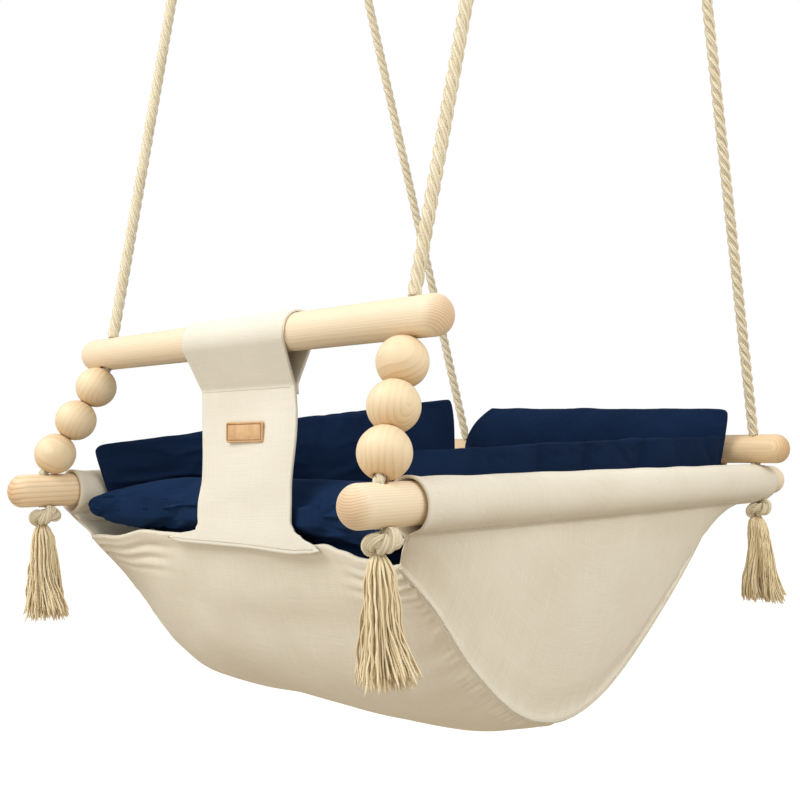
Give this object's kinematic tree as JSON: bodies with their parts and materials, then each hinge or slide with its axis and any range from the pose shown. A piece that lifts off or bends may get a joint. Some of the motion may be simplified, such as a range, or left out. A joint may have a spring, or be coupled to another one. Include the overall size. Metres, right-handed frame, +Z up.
{
  "type": "hanging baby swing",
  "caption": "Canvas sling baby swing on wooden dowels, hung from ropes, with bead columns, a crotch strap looped round the front bar, tassels and a padded liner.",
  "frame": {"origin": "hanging point: midway between the four hanging loops, level with the top of their insides", "axes": "+X along the front bar, +Y from the front bar to the rear dowel, +Z up towards the hooks"},
  "size_m": [0.4654, 0.6195, 0.8865],
  "materials": {
    "wood": "sanded pale softwood, unvarnished, with visible grain",
    "bead_wood": "smooth sanded beech",
    "rope": "natural twisted cotton rope",
    "canvas": "unbleached cotton canvas, matt",
    "padded_fabric": "navy cotton cover over soft padding, matt",
    "leather": "light tan leather with darker stitched edge, left bare"
  },
  "bodies": {
    "hanging_loops": {"hanging_loop_front_left": "rope", "hanging_loop_front_right": "rope", "hanging_loop_rear_left": "rope", "hanging_loop_rear_right": "rope"},
    "front_ropes": {"rope_front_left": "rope", "rope_front_right": "rope"},
    "seat": {"side_dowel_left": "wood", "side_dowel_right": "wood", "front_bar": "wood", "rear_dowel": "wood", "column_rope_left": "rope", "column_rope_right": "rope", "rear_rope_core_left": "rope", "rear_rope_core_right": "rope", "knot_front_left": "rope", "knot_rear_left": "rope", "knot_front_right": "rope", "knot_rear_right": "rope", "seat_panel": "canvas", "side_panel_left": "canvas", "side_panel_right": "canvas", "crotch_strap": "canvas", "leather_tag": "leather", "cushion_flap_left": "padded_fabric", "cushion_flap_right": "padded_fabric", "cushion_flap_back": "padded_fabric", "seat_cushion": "padded_fabric"},
    "rear_ropes": {"rope_rear_left": "rope", "rope_rear_right": "rope"},
    "bead_left_1": {"bead_left_1": "bead_wood"},
    "bead_left_2": {"bead_left_2": "bead_wood"},
    "bead_left_3": {"bead_left_3": "bead_wood"},
    "bead_right_1": {"bead_right_1": "bead_wood"},
    "bead_right_2": {"bead_right_2": "bead_wood"},
    "bead_right_3": {"bead_right_3": "bead_wood"},
    "tassel_front_left": {"tassel_front_left": "rope"},
    "tassel_front_right": {"tassel_front_right": "rope"},
    "tassel_rear_left": {"tassel_rear_left": "rope"},
    "tassel_rear_right": {"tassel_rear_right": "rope"}
  },
  "joints": [
    {"name": "front_rope_swing", "type": "hinge", "parent": "hanging_loops", "child": "front_ropes", "pos_m": [0, -0.10315, -0.05138], "axis": [1, 0, 0], "range_deg": [-15, 15]},
    {"name": "seat_swing", "type": "hinge", "parent": "front_ropes", "child": "seat", "pos_m": [0, -0.21569, -0.5719], "axis": [1, 0, 0], "range_deg": [-7, 7]},
    {"name": "rear_rope_swing", "type": "hinge", "parent": "seat", "child": "rear_ropes", "pos_m": [0, 0.27586, -0.66038], "axis": [1, 0, 0], "range_deg": [-6, 6]},
    {"name": "bead_left_1_turn", "type": "hinge", "parent": "seat", "child": "bead_left_1", "pos_m": [-0.2008, -0.25832, -0.65986], "axis": [0.2068, 0.4614, 0.8627], "continuous": true},
    {"name": "bead_left_2_turn", "type": "hinge", "parent": "seat", "child": "bead_left_2", "pos_m": [-0.19381, -0.24273, -0.63071], "axis": [0.2068, 0.4614, 0.8627], "continuous": true},
    {"name": "bead_left_3_turn", "type": "hinge", "parent": "seat", "child": "bead_left_3", "pos_m": [-0.18683, -0.22714, -0.60157], "axis": [0.2068, 0.4614, 0.8627], "continuous": true},
    {"name": "bead_right_1_turn", "type": "hinge", "parent": "seat", "child": "bead_right_1", "pos_m": [0.2008, -0.25832, -0.65986], "axis": [-0.2068, 0.4614, 0.8627], "continuous": true},
    {"name": "bead_right_2_turn", "type": "hinge", "parent": "seat", "child": "bead_right_2", "pos_m": [0.19381, -0.24273, -0.63071], "axis": [-0.2068, 0.4614, 0.8627], "continuous": true},
    {"name": "bead_right_3_turn", "type": "hinge", "parent": "seat", "child": "bead_right_3", "pos_m": [0.18683, -0.22714, -0.60157], "axis": [-0.2068, 0.4614, 0.8627], "continuous": true},
    {"name": "tassel_front_left_swing", "type": "hinge", "parent": "seat", "child": "tassel_front_left", "pos_m": [-0.205, -0.26769, -0.73098], "axis": [1, 0, 0], "range_deg": [-45, 15]},
    {"name": "tassel_front_right_swing", "type": "hinge", "parent": "seat", "child": "tassel_front_right", "pos_m": [0.205, -0.26769, -0.73098], "axis": [1, 0, 0], "range_deg": [-45, 15]},
    {"name": "tassel_rear_left_swing", "type": "hinge", "parent": "seat", "child": "tassel_rear_left", "pos_m": [-0.183, 0.27586, -0.73608], "axis": [1, 0, 0], "range_deg": [-15, 45]},
    {"name": "tassel_rear_right_swing", "type": "hinge", "parent": "seat", "child": "tassel_rear_right", "pos_m": [0.183, 0.27586, -0.73608], "axis": [1, 0, 0], "range_deg": [-15, 45]}
  ],
  "couplings": [
    {"joint": "seat_swing", "follows": "front_rope_swing", "ratio": -0.44825},
    {"joint": "rear_rope_swing", "follows": "front_rope_swing", "ratio": 0.38287}
  ]
}
